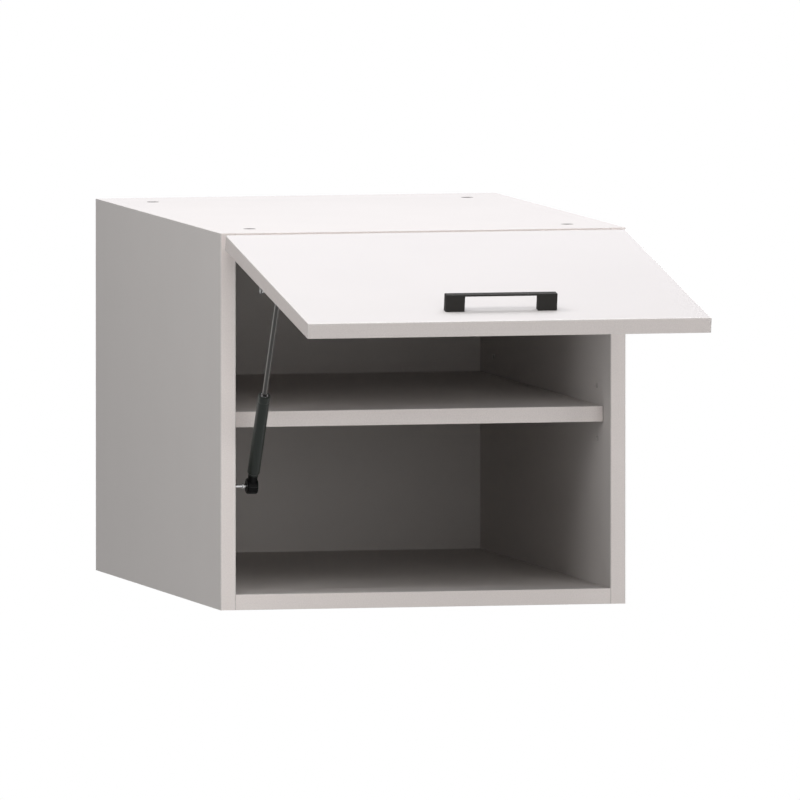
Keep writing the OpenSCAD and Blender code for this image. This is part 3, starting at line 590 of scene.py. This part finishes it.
# The tube's steps are (off the radius, down the tube) in millimetres, from the place they shape
TUBE_R, TUBE_WALL = 6 * MM, 1 * MM
ROLLED_LIP = ((-1.1, 0), (-0.5, 0.15), (-0.15, 0.5), (0, 1.1))
CRIMP_AT = 7.5 * MM
CRIMP_GROOVE = ((0, -1.0), (-0.12, -0.6), (-0.3, 0), (-0.12, 0.6), (0, 1.0))
SHOULDER = ((0, -4.4), (-0.12, -4.0), (-0.5, -3.6), (-1.1, -3.3), (-1.1, 0))
NECK = 3.5 * MM  # narrowed end below the shoulder, of black plastic
END_T = 1.4 * MM
MOUTH_R = ROD_R + 1.5 * MM
MOUTH_LIP = ((0, 0.8), (0, 0.2), (0.3, 0))
GLAND_R, GLAND_TOP, GLAND_END = ROD_R + 0.15 * MM, 0.3 * MM, 2.0 * MM


def steps(radius, height, offsets):
    """Points of a profile at offsets in millimetres from a radius and a height."""
    return [(radius + r * MM, height + h * MM) for r, h in offsets]


near, far = along("strut_tube")
tube = (
    steps(MOUTH_R, near, MOUTH_LIP)
    + steps(TUBE_R, near, ROLLED_LIP)
    + steps(TUBE_R, near + CRIMP_AT, CRIMP_GROOVE)
    + steps(TUBE_R, far, SHOULDER)
    + [
        (0, far),
        (0, far - END_T),
        (TUBE_R - TUBE_WALL, far - END_T),
        (TUBE_R - TUBE_WALL, near + GLAND_END),
        (GLAND_R, near + GLAND_END),
        (GLAND_R, near + GLAND_TOP),
        (MOUTH_R - 0.3 * MM, near + GLAND_TOP),
    ]
    + steps(MOUTH_R, near, MOUTH_LIP[:1])
)
bm = bmesh.new()
lathe(bm, tube, head, -slide)
bmesh.ops.remove_doubles(bm, verts=bm.verts, dist=TOUCH)
# Black plastic below the shoulder, and the steel gland in the mouth
for face in bm.faces:
    spot = face.calc_center_median()
    drop = (head - spot).dot(slide)
    from_axis = (spot - head + slide * drop).length
    if drop > far - NECK:
        face.material_index = 1
    elif drop < near + GLAND_END + 0.1 * MM and from_axis < MOUTH_R:
        face.material_index = 2
tube_looks = (looks["black_plastic"], looks["steel"])
finish_piece(bm, "strut_tube_painted", "strut_tube", more_looks=tube_looks)

# Nodes that keep their own shape but for their edges: node, look and rounding in millimetres
REFINED = (
    ("strut_foot_socket", None, 0.3),
    ("strut_head_socket", None, 0.3),
    ("strut_foot_stud", pin_look, 0.15),
    ("strut_head_stud", pin_look, 0.15),
    ("strut_foot_screw", pin_look, 0.1),
    ("strut_bracket", bracket_look, 0.2),
    ("hinge_arms", None, 0.2),
    ("hinge_plates", None, 0.2),
    ("hinge_cups", None, 0.15),
    ("outer_links", None, 0.15),
    ("inner_links", None, 0.15),
    ("hanger_housings", None, 0.25),
    ("hanger_hooks", None, 0.3),
    ("cam_caps", None, 0.15),
)
for node, look, width in REFINED:
    bm = welded(node)
    bevel(bm, [e for e in bm.edges if e.calc_face_angle(0.0) > CREASE], width * MM)
    finish_piece(bm, node + "_fine", node, look)

# Safety clips: the straight wires of a spring clip, in the four slots of each barrel socket
SLOT_AT, SLOT_DEPTH = 3 * MM, 1.3 * MM
CLIP_R, CLIP_END = 0.4 * MM, 0.2 * MM
BARREL_R, BARREL_HALF = 7.6 * MM, 5.2 * MM
BALL_BELOW_TUBE = 12.4 * MM
across = Vector((1, 0, 0))
out = slide.cross(across).normalized()
foot_ball = head - slide * (along("strut_tube")[1] + BALL_BELOW_TUBE)
for label, ball, body in (("foot", foot_ball, "strut_tube"), ("head", head, "strut_rod")):
    bm = bmesh.new()
    half = across * (BARREL_HALF - CLIP_END)
    for side in (-1, 1):
        reach = side * (BARREL_R - SLOT_DEPTH + CLIP_R)
        for rise in (-SLOT_AT, SLOT_AT):
            middle = ball + out * reach + slide * rise
            wire(bm, middle - half, middle + half, CLIP_R)
    finish_loose(bm, label + "_clip_wires", clip_look, body)

# --- Stage -------------------------------------------------------------------------------
FLOOR_Z, FLOOR_HALF = -1.6, 12.0
FLOOR_PAINT, FLOOR_GLOW = 0.8, 0.6
WORLD_LEVEL = 0.115


def seen_directly(tree):
    """1 for what the camera, a reflection or a clear body shows, 0 for light on the rest."""
    path = add(tree, "ShaderNodeLightPath")
    seen = path.outputs["Is Camera Ray"]
    for ray in ("Is Glossy Ray", "Is Transmission Ray"):
        either = add(tree, "ShaderNodeMath", operation="MAXIMUM")
        tree.links.new(seen, either.inputs[0])
        tree.links.new(path.outputs[ray], either.inputs[1])
        seen = either.outputs[0]
    return seen


def stage_floor():
    """A wide pale floor, far under the hanging cabinet, that glows only where it is seen."""
    m = bpy.data.materials.new("floor_paint")
    m.use_nodes = True
    tree = m.node_tree
    tree.nodes.clear()
    surface = add(tree, "ShaderNodeOutputMaterial")
    diffuse = add(tree, "ShaderNodeBsdfDiffuse", Color=(FLOOR_PAINT,) * 3 + (1,))
    glow = add(tree, "ShaderNodeEmission", Color=(1, 1, 1, 1))
    total = add(tree, "ShaderNodeAddShader")
    strength = spread(tree, seen_directly(tree), 0.0, FLOOR_GLOW)
    tree.links.new(strength, glow.inputs["Strength"])
    tree.links.new(diffuse.outputs[0], total.inputs[0])
    tree.links.new(glow.outputs[0], total.inputs[1])
    tree.links.new(total.outputs[0], surface.inputs["Surface"])

    mesh = bpy.data.meshes.new("floor")
    corners = ((-1, -1), (1, -1), (1, 1), (-1, 1))
    mesh.from_pydata(
        [(x * FLOOR_HALF, y * FLOOR_HALF, FLOOR_Z) for x, y in corners], [], [(0, 1, 2, 3)]
    )
    mesh.materials.append(m)
    obj = bpy.data.objects.new("floor", mesh)
    bpy.context.collection.objects.link(obj)


def world_light():
    """White to the camera and to reflections, and a soft level of light to the rest."""
    world = bpy.data.worlds.new("studio")
    bpy.context.scene.world = world
    world.use_nodes = True
    tree = world.node_tree
    background = tree.nodes["Background"]
    background.inputs["Color"].default_value = (1, 1, 1, 1)
    strength = spread(tree, seen_directly(tree), WORLD_LEVEL, 1.0)
    tree.links.new(strength, background.inputs["Strength"])


def softbox(name, place, target, size, power, colour):
    """A square area light that looks at its target."""
    light = bpy.data.lights.new(name, "AREA")
    light.shape, light.size, light.size_y = "RECTANGLE", size, size
    light.energy, light.color = power, colour
    obj = bpy.data.objects.new(name, light)
    obj.location = place
    obj.rotation_euler = (Vector(target) - Vector(place)).to_track_quat("-Z", "Y").to_euler()
    bpy.context.collection.objects.link(obj)


stage_floor()
world_light()
CENTRE = (0, -0.5, 0)
PLAIN, SKY = (1, 1, 1), (0.945, 0.96, 1.02)
# name, place, target, size in metres, power in watts and colour of each soft lamp
LAMPS = (
    ("top", (0.35, 0.0, 2.2), (0, -0.15, 0), 2.4, 50.5, SKY),
    ("top_front", (0, -2.6, 2.6), CENTRE, 1.4, 23, PLAIN),
    ("right_level", (2.4, -1.9, -0.1), CENTRE, 1.3, 12, PLAIN),
    ("front", (0.5, -3.4, 0.3), CENTRE, 1.6, 13.4, PLAIN),
    ("front_left", (-0.6, -3.6, -0.1), CENTRE, 0.6, 2.5, PLAIN),
    ("front_left_high", (-1.1, -2.4, 2.0), CENTRE, 1.2, 13.5, PLAIN),
    ("left", (-2.6, -1.4, 0.6), CENTRE, 0.8, 9.5, PLAIN),
    ("left_high", (-1.5, -0.7, 1.9), CENTRE, 0.9, 15.5, PLAIN),
    ("rear", (1.6, 2.6, 0.9), CENTRE, 1.6, 40, PLAIN),
)
for name, *lamp in LAMPS:
    softbox(name + "_light", *lamp)

scene = bpy.context.scene
scene.view_settings.view_transform = "Standard"

# Long lens at the photograph's angle, from 37 m away
AZIMUTH, ELEVATION = math.radians(-13.11044), math.radians(3.91039)
EYE = (-8.24496, -35.85324, 2.49619)
camera = bpy.data.cameras.new("camera")
camera.lens, camera.sensor_width = 1700.0, 36.0
camera.clip_start, camera.clip_end = 1.0, 200.0
eye = bpy.data.objects.new("camera", camera)
back = Vector(
    (
        math.sin(AZIMUTH) * math.cos(ELEVATION),
        -math.cos(AZIMUTH) * math.cos(ELEVATION),
        math.sin(ELEVATION),
    )
)
eye.location = EYE
eye.rotation_mode = "QUATERNION"
eye.rotation_quaternion = (-back).to_track_quat("-Z", "Y")
bpy.context.collection.objects.link(eye)
scene.camera = eye
